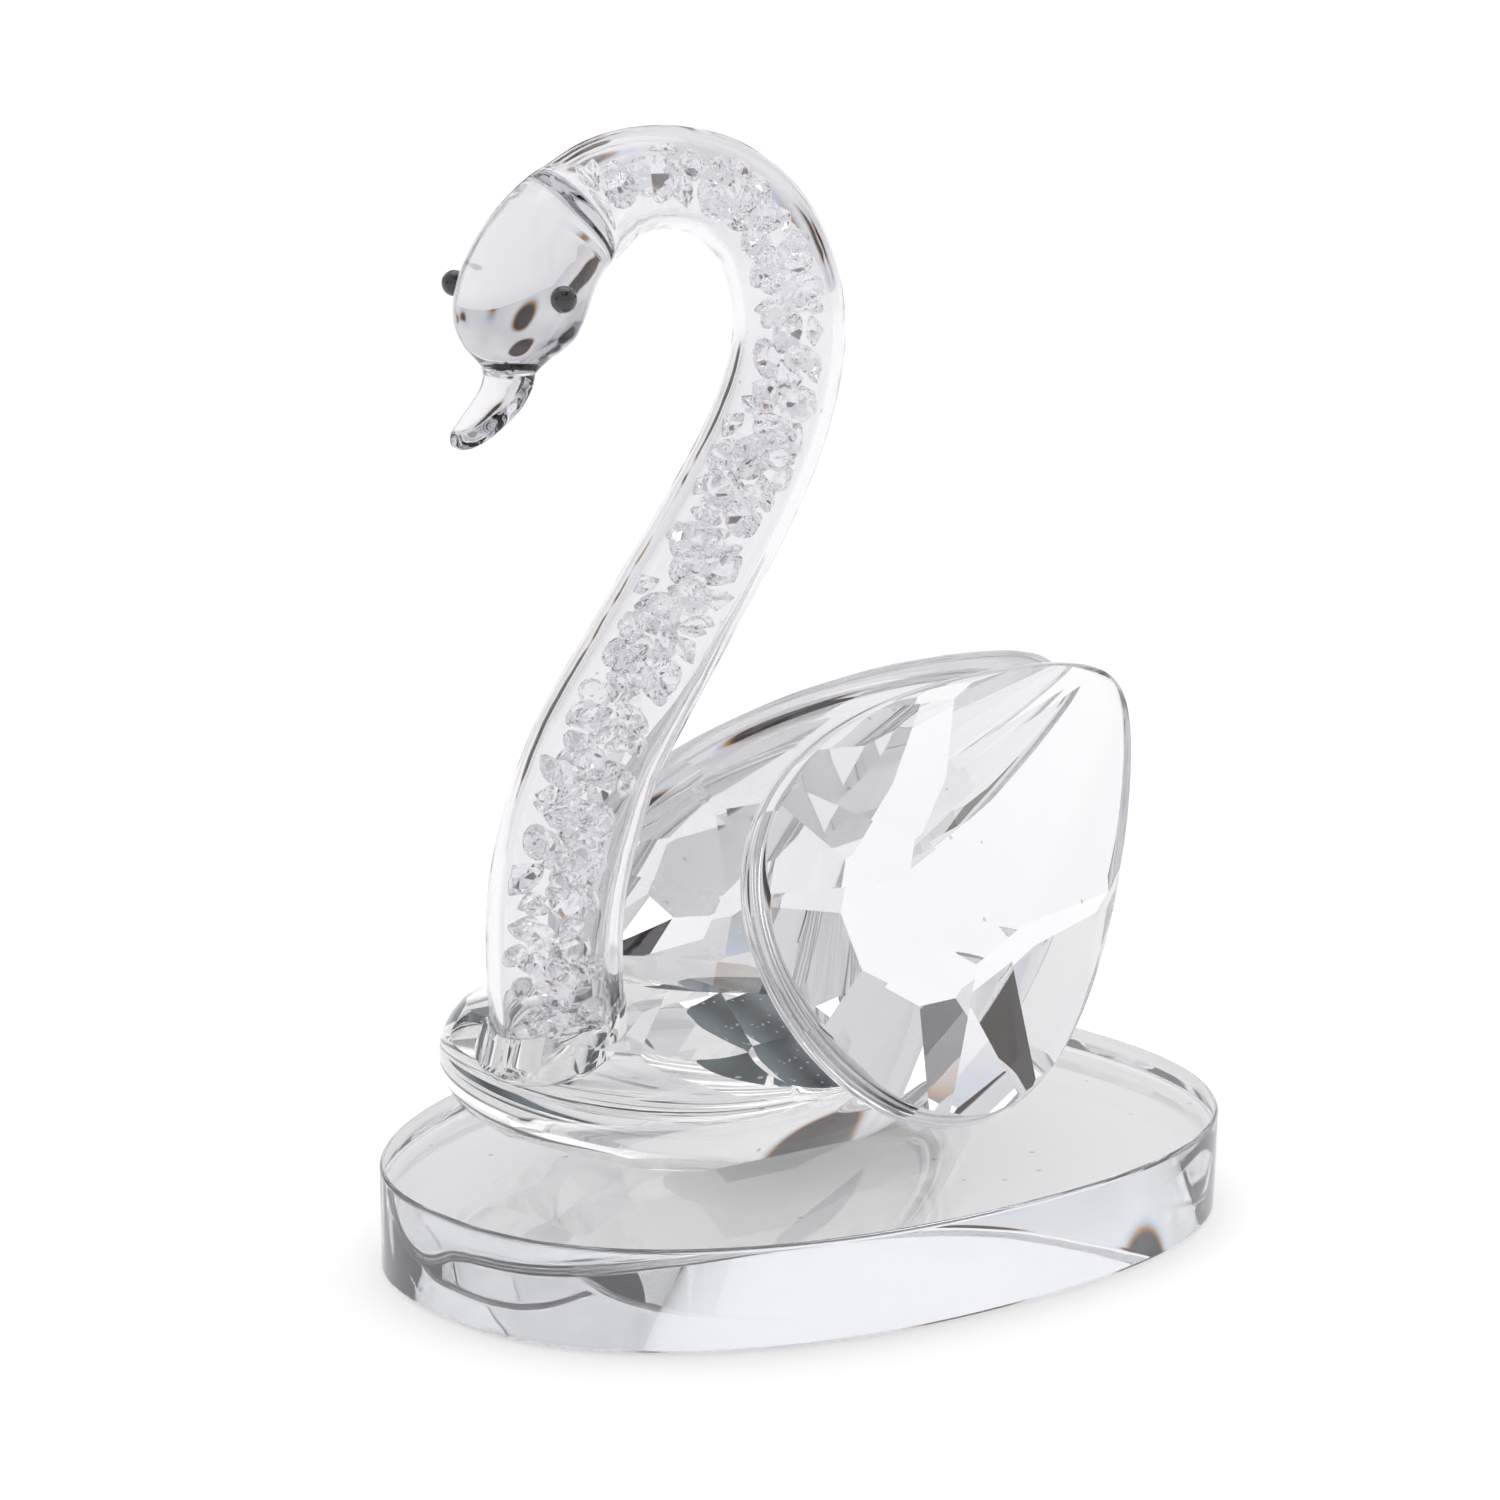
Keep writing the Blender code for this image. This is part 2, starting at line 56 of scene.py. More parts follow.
# Plinth outline, as in the CAD source
PLINTH_HALF_LENGTH = 50.0
PLINTH_HALF_WIDTH = 36.6
PLINTH_THICKNESS = 11.1
PLINTH_POWER = 2.31
PLINTH_EGG = 0.115
PLINTH_SIDES = 288
PLINTH_EDGE = 0.45             # radius of the polished edge
PLINTH_EDGE_STEPS = 4

# Neck centre line, as in the CAD source: (y, z, outer radius) from foot to head
NECK_PATH = (
    (-34.4, 27.6, 7.0), (-34.8, 33.0, 7.1), (-35.0, 38.0, 7.15), (-34.6, 43.0, 7.2),
    (-33.4, 48.0, 7.2), (-31.5, 53.0, 7.15), (-28.9, 58.0, 7.05), (-25.4, 62.6, 6.95),
    (-21.6, 67.3, 6.85), (-16.5, 73.7, 6.75), (-11.4, 80.1, 6.6), (-6.8, 86.8, 6.4),
    (-3.7, 93.6, 6.15), (-2.7, 99.3, 6.0), (-3.8, 104.8, 5.85), (-6.9, 110.0, 5.65),
    (-12.4, 114.0, 5.45), (-18.2, 115.7, 5.3), (-23.6, 115.9, 5.35), (-28.2, 114.9, 5.6),
    (-32.2, 112.8, 5.9),
)
HEAD_PATH = (
    (-33.6, 112.07, 6.05, 6.0), (-35.8, 110.3, 6.45, 6.15),
    (-37.9, 107.8, 7.1, 6.15), (-39.4, 105.0, 7.6, 6.0), (-40.4, 102.3, 7.0, 5.7),
    (-40.8, 100.4, 5.5, 4.9), (-40.95, 98.9, 3.8, 3.5), (-41.05, 97.9, 3.1, 2.5),
)
BEAK_PATH = (
    (-41.2, 96.8, 3.0, 2.25), (-42.1, 95.2, 2.85, 2.0),
    (-43.8, 93.6, 2.7, 1.7), (-45.7, 92.2, 2.4, 1.4), (-47.1, 91.4, 1.75, 1.05),
    (-47.8, 91.05, 0.9, 0.55),
)
FOOT_DEPTH = 2.5               # rounded foot of the neck below the first point of the path
FOOT_PROFILE = ((1.0, 0.66), (0.8, 0.87), (0.55, 0.96), (0.25, 1.0))   # (depth, radius) shares
BEAK_TIP_REACH = 0.15          # how far the closing point lies beyond the last ring of the beak
NECK_WALL = 1.35
CURVE_PARTS = 24               # samples of each span of a path before they are evened out
SKIN_STEPS = 420
SKIN_SIDES = 72
CAVITY_STEPS = 300
CAVITY_DOME = 1.6              # height of the rounded end of the hollow, at the head
CAVITY_DOME_RINGS = 8
CAVITY_FLOOR = 0.2             # depth of the rounded bottom of the hollow, at the foot

# Loose stones: one brilliant for each CAD stone, and smaller ones between them
STONE_RADIUS = 2.35
PAVILION_DEPTH = 0.86          # depth of the point below the girdle, for a radius of 1
BRILLIANT_RINGS = (            # (radius, height, corners, turn in steps) for a radius of 1
    (0.56, 0.36, 8, 0.0), (0.80, 0.21, 8, 0.5), (1.0, 0.04, 16, 0.0), (1.0, -0.04, 16, 0.0),
    (0.62, -0.40, 8, 0.0),
)
FILLER_COUNT = 150             # most fillers that are tried for; some find no room
FILLER_SEED = 21
FILLER_TRIES = 260
FILLER_RADII = (1.5, 2.2)
FILLER_STEPS = 400             # samples along the bore
FILLER_AIMS = (6.0, 394.0)     # samples that the first and the last filler are aimed at
FILLER_ENDS = (5, 396)         # first and last sample where a filler may lie
FILLER_DRIFT = 9.0             # how far a filler may lie from its aim, in samples
FILLER_WINDOW = 16             # samples each way that are searched for the nearest wall
STONE_CLEARANCE = 0.12
WALL_CLEARANCE = 0.15
CLOSEST_CENTRES = 0.45         # two stones' centres are at least this share of their radii apart

# Pear-shaped cut crystals, as in the CAD source, with the smooth rim that the polishing leaves
PEAR_LENGTH = 70.4
PEAR_TAPER = 0.46
PEAR_SIDES = 224
PEAR_HEART = -10.6
MAIN_ANGLES = (44.0, 82.0, 118.0, 154.0)
BREAK_ANGLES = (14.0, 33.0, 56.0, 72.0, 92.0, 110.0, 130.0, 150.0, 171.0)
BREAK_RISE = 0.60
BREAK_REACH = 0.78
BODY_CUT = (43.6, 4.4, 9.7, 9.0)   # width, girdle half thickness, table height, table reach
BODY_CENTRE_Y = -8.9
BODY_FLOOR = 12.0                  # height of the underside of the body
WING_SEAT_NORMAL = (0.691, 0.208, 0.692)
WING_SEAT_REACH = 27.3
WING_CUT = (44.0, 1.9, 7.4, 8.0)
WING_CENTRE = (12.75, 13.5, 41.4)
WING_LEAN = 30.0
WING_YAW = 1.4
WING_RISE = 26.8
PEAR_FIT_SIDES = 180           # sides of the outline that the facet planes are set out from
RIM_REACH = 13.0               # how far in the rounded rim would run if no facet cut it
RIM_STEPS = 12
SHORTEST_EDGE = 0.004          # corners closer than this are joined
SEAT_RADIUS = 7.25
SEAT_FLOOR = 3.4               # depth of the drilled seat below the foot of the neck
SEAT_BEVEL = 0.8
SEAT_REACH = 14.0              # length of the drill above the floor of the seat
SEAT_SIDES = 96

# Glue patch under the body: it wets both glasses, so it reaches a little into each
FILM_CENTRE = (-1.0, 3.0)
FILM_HALF_WIDTH = 9.0
FILM_HALF_LENGTH = 17.0
FILM_POWER = 3.6
FILM_LOW = 11.04
FILM_HIGH = 12.06
FILM_EDGE = 0.2                # height of the bevel at the film's edge
FILM_EDGE_SHARE = 0.985
FILM_SIDES = 144

# Glasses. They are values that look right in this studio, not measured material data.
ABSORPTION_TINT = (0.800, 0.797, 0.815, 1.0)
SPECK_SHADE = 0.45             # tone of a bubble or dust speck against the clear glass
SPECK_REACH = (0.035, 0.05)    # where a speck ends and clear glass begins
POLISH_ROUGHNESS = 0.012       # roughest patch of the polish
CRYSTAL = dict(colour=(0.90, 0.895, 0.90), ior=1.54, bump=0.02, bump_scale=60.0, specks=160.0,
               absorption=18.0)
BODY = dict(colour=(1.0, 0.995, 0.99), ior=1.50, bump=0.02, bump_scale=60.0, specks=160.0,
            absorption=1.0)
PLINTH_CLEAR = dict(colour=(0.99, 0.99, 0.995), ior=1.5, bump=0.01, bump_scale=40.0, specks=140.0,
                    absorption=1.2, haze=0.02)
# Painted shade: the wall glass is tinted darker and bluer than the clear plinth glass
PLINTH_WALL_SHADED = dict(colour=(0.88, 0.89, 0.925), ior=1.5, bump=0.01, bump_scale=40.0, specks=140.0,
                   absorption=1.2, haze=0.05)
TUBE = dict(colour=(0.905, 0.90, 0.91), ior=1.48, bump=0.12, bump_scale=120.0, specks=160.0,
            absorption=105.0)
STONE = dict(colour=(0.99, 0.99, 1.0), ior=1.56, bump=0.0, bump_scale=60.0, specks=200.0)
BRIGHT_STONE = dict(colour=(0.98, 0.98, 1.0), ior=1.80, bump=0.0, bump_scale=60.0, specks=200.0)
ADHESIVE = dict(colour=(0.80, 0.84, 0.85), ior=1.45, bump=0.2, bump_scale=900.0, specks=900.0)
# Painted shade: dark teal tones for the dark view seen through the glue under the body
GLUE_PAINTED_SHADE_TONES = ((0.030, 0.055, 0.070, 1.0), (0.30, 0.38, 0.42, 1.0))
BUBBLE_TONE = (0.75, 0.80, 0.82, 1.0)
BEAD_TONES = ((0.004, 0.004, 0.005, 1.0), (0.02, 0.02, 0.022, 1.0))
BEAD_ROUGHNESS = (0.04, 0.12)
FLOOR_TONES = ((0.80, 0.80, 0.80, 1.0), (0.82, 0.82, 0.82, 1.0))
FLOOR_REACH = 6.0              # metres from the middle to each side of the floor
FLOOR_DROP = -0.0003           # metres; a hair under the plinth

# Studio: a soft white surround with dark gaps, white panels, and black flags where facets look
WORLD_STRENGTH = 0.95
BACKDROP_TONE = (1.2, 1.2, 1.2, 1.0)
GAP_SCALE = 2.1
GAP_TONES = (                  # the noise's (value, colour) stops: dark gap, warm edge, blue edge, white
    (0.36, (0.010, 0.010, 0.012)), (0.62, (1.0, 1.0, 1.0)), (0.372, (0.35, 0.15, 0.04)),
    (0.384, (0.62, 0.50, 0.40)), (0.396, (0.58, 0.68, 0.84)), (0.42, (0.80, 0.80, 0.83)),
)
PANEL_TONE = (0.95, 0.95, 0.96, 1.0)
PANELS = (                     # white panels: (direction, cosine at the edge, cosine where full)
    ((-0.72, -0.50, 0.45), 0.70, 0.86),
    ((0.80, 0.45, 0.25), 0.72, 0.88),
    ((-0.05, 0.65, 0.72), 0.80, 0.93),
)
FLAG_EDGE = 0.003              # half width of a flag's edge, as a cosine
FLAGS = (                      # black flags: (direction, cosine at the edge)
    ((-0.83, 0.54, 0.12), 0.994),
    ((-0.76, 0.44, 0.48), 0.990),
    ((0.37, 0.10, 0.92), 0.985),
    ((-0.99, 0.07, 0.13), 0.990),
)
FLAG_TONES = (
    (0.0, (1.0, 1.0, 1.0)), (1.0, (0.06, 0.05, 0.05)), (0.30, (0.75, 0.85, 1.0)),
    (0.55, (0.70, 0.66, 0.62)), (0.75, (0.55, 0.30, 0.12)),
)
FLOOR_GLOW = 0.36
LAMP_PLACE = (-0.2, 0.3, 1.4)  # metres
LAMP_AIM = (0.0, 0.0, 0.06)
LAMP_SIZE = 1.2
LAMP_POWER = 4.0
LONGEST_PATH = 24              # bounces of light through the glass

CAMERA_PLACE = (0.3228, -0.3074, 0.1556)
CAMERA_AZIMUTH = 47.11
CAMERA_ELEVATION = 13.24
CAMERA_ROLL = 0.74
CAMERA_LENS = 101.1
CAMERA_SHIFT = 20.0 / 1500.0


def signed_power(value, power):
    """Power of the size of a number that keeps its sign."""
    return math.copysign(abs(value) ** power, value)


def catmull_rom(rows, t):
    """One point of a Catmull-Rom curve between the second and third of four rows."""
    result = []
    for p0, p1, p2, p3 in zip(*rows):
        linear = (p2 - p0) * t
        square = (2 * p0 - 5 * p1 + 4 * p2 - p3) * t * t
        cube = (3 * p1 - p0 - 3 * p2 + p3) * t ** 3
        result.append(0.5 * (2 * p1 + linear + square + cube))
    return tuple(result)


def smooth_path(points, steps):
    """Evenly spaced Catmull-Rom samples through rows of numbers; the first two are y and z."""
    rows = [points[0]] + list(points) + [points[-1]]
    dense = []
    for index in range(1, len(rows) - 2):
        for part in range(CURVE_PARTS):
            dense.append(catmull_rom(rows[index - 1:index + 3], part / CURVE_PARTS))
    dense.append(tuple(points[-1]))
    lengths = [0.0]
    for before, after in zip(dense, dense[1:]):
        lengths.append(lengths[-1] + math.dist(before[:2], after[:2]))
    samples = []
    cursor = 0
    for step in range(steps + 1):
        target = lengths[-1] * step / steps
        while cursor < len(dense) - 2 and lengths[cursor + 1] < target:
            cursor += 1
        span = lengths[cursor + 1] - lengths[cursor]
        share = (target - lengths[cursor]) / span
        samples.append(tuple(a + (b - a) * share for a, b in zip(dense[cursor], dense[cursor + 1])))
    return samples


def path_frames(samples):
    """Centre, in-plane normal and tangent at each sample of a path in the x = 0 plane."""
    frames = []
    for index, row in enumerate(samples):
        before = samples[max(index - 1, 0)]
        after = samples[min(index + 1, len(samples) - 1)]
        tangent = Vector((0.0, after[0] - before[0], after[1] - before[1])).normalized()
        normal = Vector((0.0, -tangent.z, tangent.y))
        frames.append((Vector((0.0, row[0], row[1])), normal, tangent))
    return frames


def add_ring(bm, centre, normal, half_width, half_depth, sides):
    """Closed elliptical ring of vertices across a path."""
    ring = []
    for side in range(sides):
        angle = 2.0 * math.pi * side / sides
        across = Vector((half_width * math.cos(angle), 0.0, 0.0))
        offset = across + normal * (half_depth * math.sin(angle))
        ring.append(bm.verts.new(centre + offset))
    return ring


def bridge(bm, first, second):
    """Band of quads between two rings with the same number of vertices."""
    count = len(first)
    for index in range(count):
        after = (index + 1) % count
        bm.faces.new((first[index], first[after], second[after], second[index]))


def close_end(bm, ring, point, flip):
    """Fan of triangles from a ring to one point beyond it."""
    tip = bm.verts.new(point)
    count = len(ring)
    for index in range(count):
        after = (index + 1) % count
        corners = (ring[index], ring[after], tip)
        bm.faces.new(corners[::-1] if flip else corners)


def add_piece(name, bm, material, smooth, nodes=(), outward=True):
    """Turn a bmesh in millimetres into a piece in metres that rides on the root body."""
    if outward:
        bmesh.ops.recalc_face_normals(bm, faces=bm.faces[:])
    bmesh.ops.scale(bm, vec=(MM, MM, MM), verts=bm.verts[:])
    mesh = bpy.data.meshes.new(name)
    bm.to_mesh(mesh)
    bm.free()
    mesh.polygons.foreach_set("use_smooth", [smooth] * len(mesh.polygons))
    mesh.materials.append(material)
    piece = bpy.data.objects.new(name, mesh)
    bpy.context.scene.collection.objects.link(piece)
    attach(piece, "root")
    if nodes:
        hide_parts(*nodes)
    return piece


# ---------------------------------------------------------------- materials

def new_node(tree, kind, **inputs):
    """Node of one kind with some of its inputs set by name."""
    node = tree.nodes.new(kind)
    for name, value in inputs.items():
        node.inputs[name.replace("_", " ")].default_value = value
    return node


def glass_material(name, colour, ior, bump, bump_scale, specks, absorption=0.0, haze=0.0):
    """Clear glass with a faint waviness of the polish and a few tiny bubbles and dust specks."""
    material = bpy.data.materials.new(name)
    material.use_nodes = True
    tree = material.node_tree
    shader = tree.nodes["Principled BSDF"]
    shader.inputs["Transmission Weight"].default_value = 1.0 - haze
    shader.inputs["IOR"].default_value = ior
    place = tree.nodes.new("ShaderNodeTexCoord")
    waves = new_node(tree, "ShaderNodeTexNoise", Scale=bump_scale, Detail=2.0, Roughness=0.5)
    tree.links.new(place.outputs["Object"], waves.inputs["Vector"])
    relief = new_node(tree, "ShaderNodeBump", Strength=bump, Distance=0.001)
    tree.links.new(waves.outputs["Fac"], relief.inputs["Height"])
    tree.links.new(relief.outputs["Normal"], shader.inputs["Normal"])
    dots = new_node(tree, "ShaderNodeTexVoronoi", Scale=specks)
    tree.links.new(place.outputs["Object"], dots.inputs["Vector"])
    tint = tree.nodes.new("ShaderNodeValToRGB")
    tint.color_ramp.elements[0].position = SPECK_REACH[0]
    tint.color_ramp.elements[0].color = (*(channel * SPECK_SHADE for channel in colour), 1.0)
    tint.color_ramp.elements[1].position = SPECK_REACH[1]
    tint.color_ramp.elements[1].color = (*colour, 1.0)
    tree.links.new(dots.outputs["Distance"], tint.inputs["Fac"])
    tree.links.new(tint.outputs["Color"], shader.inputs["Base Color"])
    polish = new_node(tree, "ShaderNodeMapRange", To_Min=0.0, To_Max=POLISH_ROUGHNESS)
    tree.links.new(waves.outputs["Fac"], polish.inputs["Value"])
    tree.links.new(polish.outputs["Result"], shader.inputs["Roughness"])
    if absorption:
        depth = new_node(tree, "ShaderNodeVolumeAbsorption", Color=ABSORPTION_TINT, Density=absorption)
        tree.links.new(depth.outputs["Volume"], tree.nodes["Material Output"].inputs["Volume"])
    return material


def painted_shade_glue_material(name):
    """Face of the glue that touches the crystal: painted shade in dark teal, standing for the dark view
    seen through the glue, with streaks and small bubbles.
    """
    material = bpy.data.materials.new(name)
    material.use_nodes = True
    tree = material.node_tree
    shader = tree.nodes["Principled BSDF"]
    shader.inputs["Roughness"].default_value = 0.35
    place = tree.nodes.new("ShaderNodeTexCoord")
    # streaks and dark teal tint together make the painted shade seen through the glue
    streaks = new_node(tree, "ShaderNodeTexWave", Scale=34.0, Distortion=1.5, Detail=2.0)
    streaks.bands_direction = "Y"
    tree.links.new(place.outputs["Object"], streaks.inputs["Vector"])
    tint = tree.nodes.new("ShaderNodeValToRGB")
    tint.color_ramp.elements[0].color = GLUE_PAINTED_SHADE_TONES[0]
    tint.color_ramp.elements[1].color = GLUE_PAINTED_SHADE_TONES[1]
    tree.links.new(streaks.outputs["Fac"], tint.inputs["Fac"])
    bubbles = new_node(tree, "ShaderNodeTexVoronoi", Scale=900.0, Randomness=1.0)
    tree.links.new(place.outputs["Object"], bubbles.inputs["Vector"])
    spots = tree.nodes.new("ShaderNodeValToRGB")
    spots.color_ramp.elements[0].position = 0.14
    spots.color_ramp.elements[0].color = (1.0, 1.0, 1.0, 1.0)
    spots.color_ramp.elements[1].position = 0.22
    spots.color_ramp.elements[1].color = (0.0, 0.0, 0.0, 1.0)
    tree.links.new(bubbles.outputs["Distance"], spots.inputs["Fac"])
    mix = tree.nodes.new("ShaderNodeMix")
    mix.data_type = "RGBA"
    tree.links.new(spots.outputs["Color"], mix.inputs["Factor"])
    tree.links.new(tint.outputs["Color"], mix.inputs["A"])
    mix.inputs["B"].default_value = BUBBLE_TONE
    tree.links.new(mix.outputs["Result"], shader.inputs["Base Color"])
    return material


def bead_material(name):
    """Glossy black glass with a faint cloudiness in its polish."""
    material = bpy.data.materials.new(name)
    material.use_nodes = True
    tree = material.node_tree
    shader = tree.nodes["Principled BSDF"]
    shader.inputs["Coat Weight"].default_value = 0.6
    shader.inputs["Coat Roughness"].default_value = 0.02
    place = tree.nodes.new("ShaderNodeTexCoord")
    cloud = new_node(tree, "ShaderNodeTexNoise", Scale=900.0, Detail=3.0)
    tree.links.new(place.outputs["Object"], cloud.inputs["Vector"])
    tint = tree.nodes.new("ShaderNodeValToRGB")
    tint.color_ramp.elements[0].color = BEAD_TONES[0]
    tint.color_ramp.elements[1].color = BEAD_TONES[1]
    tree.links.new(cloud.outputs["Fac"], tint.inputs["Fac"])
    tree.links.new(tint.outputs["Color"], shader.inputs["Base Color"])
    polish = new_node(tree, "ShaderNodeMapRange", To_Min=BEAD_ROUGHNESS[0],
                      To_Max=BEAD_ROUGHNESS[1])
    tree.links.new(cloud.outputs["Fac"], polish.inputs["Value"])
    tree.links.new(polish.outputs["Result"], shader.inputs["Roughness"])
    return material


def floor_material():
    """Plain pale matt floor with a barely visible mottle."""
    material = bpy.data.materials.new("studio_floor")
    material.use_nodes = True
    tree = material.node_tree
    shader = tree.nodes["Principled BSDF"]
    shader.inputs["Roughness"].default_value = 0.9
    shader.inputs["Specular IOR Level"].default_value = 0.0
    place = tree.nodes.new("ShaderNodeTexCoord")
    mottle = new_node(tree, "ShaderNodeTexNoise", Scale=6.0, Detail=2.0)
    tree.links.new(place.outputs["Object"], mottle.inputs["Vector"])
    tint = tree.nodes.new("ShaderNodeValToRGB")
    tint.color_ramp.elements[0].color = FLOOR_TONES[0]
    tint.color_ramp.elements[1].color = FLOOR_TONES[1]
    tree.links.new(mottle.outputs["Fac"], tint.inputs["Fac"])
    tree.links.new(tint.outputs["Color"], shader.inputs["Base Color"])
    shader.inputs["Emission Color"].default_value = (1.0, 1.0, 1.0, 1.0)
    shader.inputs["Emission Strength"].default_value = FLOOR_GLOW
    return material


# ---------------------------------------------------------------- pieces

def plinth_outline(inset):
    """Egg-shaped outline of the plinth, pulled in by a small inset."""
    power = 2.0 / PLINTH_POWER
    outline = []
    for side in range(PLINTH_SIDES):
        angle = 2.0 * math.pi * side / PLINTH_SIDES
        along = signed_power(math.sin(angle), power)
        across = signed_power(math.cos(angle), power) * (1.0 + PLINTH_EGG * along)
        outline.append(((PLINTH_HALF_WIDTH - inset) * across, (PLINTH_HALF_LENGTH - inset) * along))
    return outline


def build_plinth(material, shaded_wall_material):
    """Oval plinth with rounded, polished edges; its wall glass has a darker, bluer tint, which is
    painted shade, and a little more haze.
    """
    bm = bmesh.new()
    profile = []
    for step in range(PLINTH_EDGE_STEPS + 1):
        turn = 0.5 * math.pi * step / PLINTH_EDGE_STEPS
        profile.append((PLINTH_EDGE * (1.0 - math.cos(turn)), PLINTH_EDGE * (1.0 - math.sin(turn))))
    levels = list(profile)
    levels += [(PLINTH_THICKNESS - height, inset) for height, inset in reversed(profile)]
    rings = []
    for height, inset in levels:
        rings.append([bm.verts.new((x, y, height)) for x, y in plinth_outline(inset)])
    for lower, upper in zip(rings, rings[1:]):
        bridge(bm, lower, upper)
    bm.faces.new(rings[0][::-1])
    bm.faces.new(rings[-1])
    piece = add_piece("plinth", bm, material, True, ("base_plate",))
    # the side faces take the wall glass with its painted shade
    piece.data.materials.append(shaded_wall_material)
    around = [len(face.vertices) == 4 for face in piece.data.polygons]
    piece.data.polygons.foreach_set("use_smooth", around)
    piece.data.polygons.foreach_set("material_index", [int(side) for side in around])


def skin_path():
    """The whole glass outside, from the foot of the neck to the tip of the beak."""
    rows = [(y, z, radius, radius) for y, z, radius in NECK_PATH]
    return rows + list(HEAD_PATH) + list(BEAK_PATH)


def build_swan_glass(material):
    """Neck, head and beak as one run of worked glass, with the hollow for the stones."""
    bm = bmesh.new()
    samples = smooth_path(skin_path(), SKIN_STEPS)
    frames = path_frames(samples)
    rings = []
    centre, normal, tangent = frames[0]
    for depth, share in FOOT_PROFILE:
        radius = NECK_PATH[0][2] * share
        middle = centre - tangent * (depth * FOOT_DEPTH)
        rings.append(add_ring(bm, middle, normal, radius, radius, SKIN_SIDES))
    foot_point = centre - tangent * FOOT_DEPTH
    for (centre, normal, tangent), row in zip(frames, samples):
        rings.append(add_ring(bm, centre, normal, row[2], row[3], SKIN_SIDES))
    for before, after in zip(rings, rings[1:]):
        bridge(bm, before, after)
    close_end(bm, rings[0], foot_point, True)
    close_end(bm, rings[-1], centre + tangent * BEAK_TIP_REACH, False)
    skin = set(bm.faces)
    bmesh.ops.recalc_face_normals(bm, faces=list(skin))
    add_cavity(bm)
    hollow = [face for face in bm.faces if face not in skin]
    bmesh.ops.recalc_face_normals(bm, faces=hollow)
    bmesh.ops.reverse_faces(bm, faces=hollow)
    return add_piece("swan_glass", bm, material, True,
                     ("neck_tube", "foot_cap", "head", "beak"), outward=False)


def add_cavity(bm):
    """Hollow inside the neck, facing in, with a rounded bottom and a domed end at the head."""
    samples = smooth_path(NECK_PATH, CAVITY_STEPS)
    frames = path_frames(samples)
    rings = []
    for (centre, normal, _), row in zip(frames, samples):
        bore = row[2] - NECK_WALL
        rings.append(add_ring(bm, centre, normal, bore, bore, SKIN_SIDES))
    centre, normal, tangent = frames[-1]
    bore = NECK_PATH[-1][2] - NECK_WALL
    for step in range(1, CAVITY_DOME_RINGS):
        turn = 0.5 * math.pi * step / CAVITY_DOME_RINGS
        radius = bore * math.cos(turn)
        middle = centre + tangent * (CAVITY_DOME * math.sin(turn))
        rings.append(add_ring(bm, middle, normal, radius, radius, SKIN_SIDES))
    for before, after in zip(rings, rings[1:]):
        bridge(bm, after, before)
    close_end(bm, rings[0], frames[0][0] - frames[0][2] * CAVITY_FLOOR, False)
    close_end(bm, rings[-1], centre + tangent * (CAVITY_DOME + 0.02), True)


def pear_shoulder(angle):
    """Half width of the pear before it is scaled to its widest place."""
    return math.sin(angle) * (1.0 - PEAR_TAPER * math.cos(angle))


PEAR_PEAK = max(pear_shoulder(math.pi * step / 180.0) for step in range(181))


def pear_outline(width, sides):
    """Points of the pear outline as (u, w); the tail tip is the first."""
    outline = []
    for side in range(sides):
        angle = 2.0 * math.pi * side / sides
        across = 0.5 * width * pear_shoulder(angle) / PEAR_PEAK
        outline.append((0.5 * PEAR_LENGTH * math.cos(angle), across))
    return outline


def pear_support(direction, outline):
    """Distance from the crown centre to the outline's tangent in one direction."""
    cosine = math.cos(direction)
    sine = math.sin(direction)
    return max((u - PEAR_HEART) * cosine + w * sine for u, w in outline)


def facet_plane(degrees, reach, girdle, rise, outline):
    """Plane that climbs from the girdle edge to the given rise at the given reach."""
    direction = math.radians(degrees)
    distance = pear_support(direction, outline)
    cosine = math.cos(direction)
    sine = math.sin(direction)
    point = Vector((PEAR_HEART + distance * cosine, distance * sine, girdle))
    normal = Vector((rise * cosine, rise * sine, distance - reach)).normalized()
    return point, normal


def crown_planes(cut):
    """Facet planes of one side of a pear crystal as (point, normal) pairs in (u, w, n)."""
    width, girdle, crown, table_reach = cut
    outline = pear_outline(width, PEAR_FIT_SIDES)
    planes = [(Vector((0.0, 0.0, crown)), Vector((0.0, 0.0, 1.0)))]
    mains = [(0.0, 0.0)]
    mains += [(sign * angle, table_reach) for angle in MAIN_ANGLES for sign in (-1.0, 1.0)]
    for degrees, reach in mains:
        planes.append(facet_plane(degrees, reach, girdle, crown - girdle, outline))
    for degrees in BREAK_ANGLES:
        reach = BREAK_REACH * pear_support(math.radians(degrees), outline)
        for sign in (-1.0, 1.0):
            rise = BREAK_RISE * (crown - girdle)
            planes.append(facet_plane(sign * degrees, reach, girdle, rise, outline))
    return planes


def cut_facet(bm, point, normal):
    """Slice off all that lies beyond a plane, and close the cut with one sharp-edged flat facet."""
    geometry = bm.verts[:] + bm.edges[:] + bm.faces[:]
    result = bmesh.ops.bisect_plane(bm, geom=geometry, dist=1e-5, plane_co=point, plane_no=normal,
                                    clear_outer=True)
    rim = [item for item in result["geom_cut"] if isinstance(item, bmesh.types.BMEdge)]
    if rim:
        made = bmesh.ops.contextual_create(bm, geom=rim)
        for face in made["faces"]:
            face.smooth = False
        for edge in rim:
            edge.smooth = False


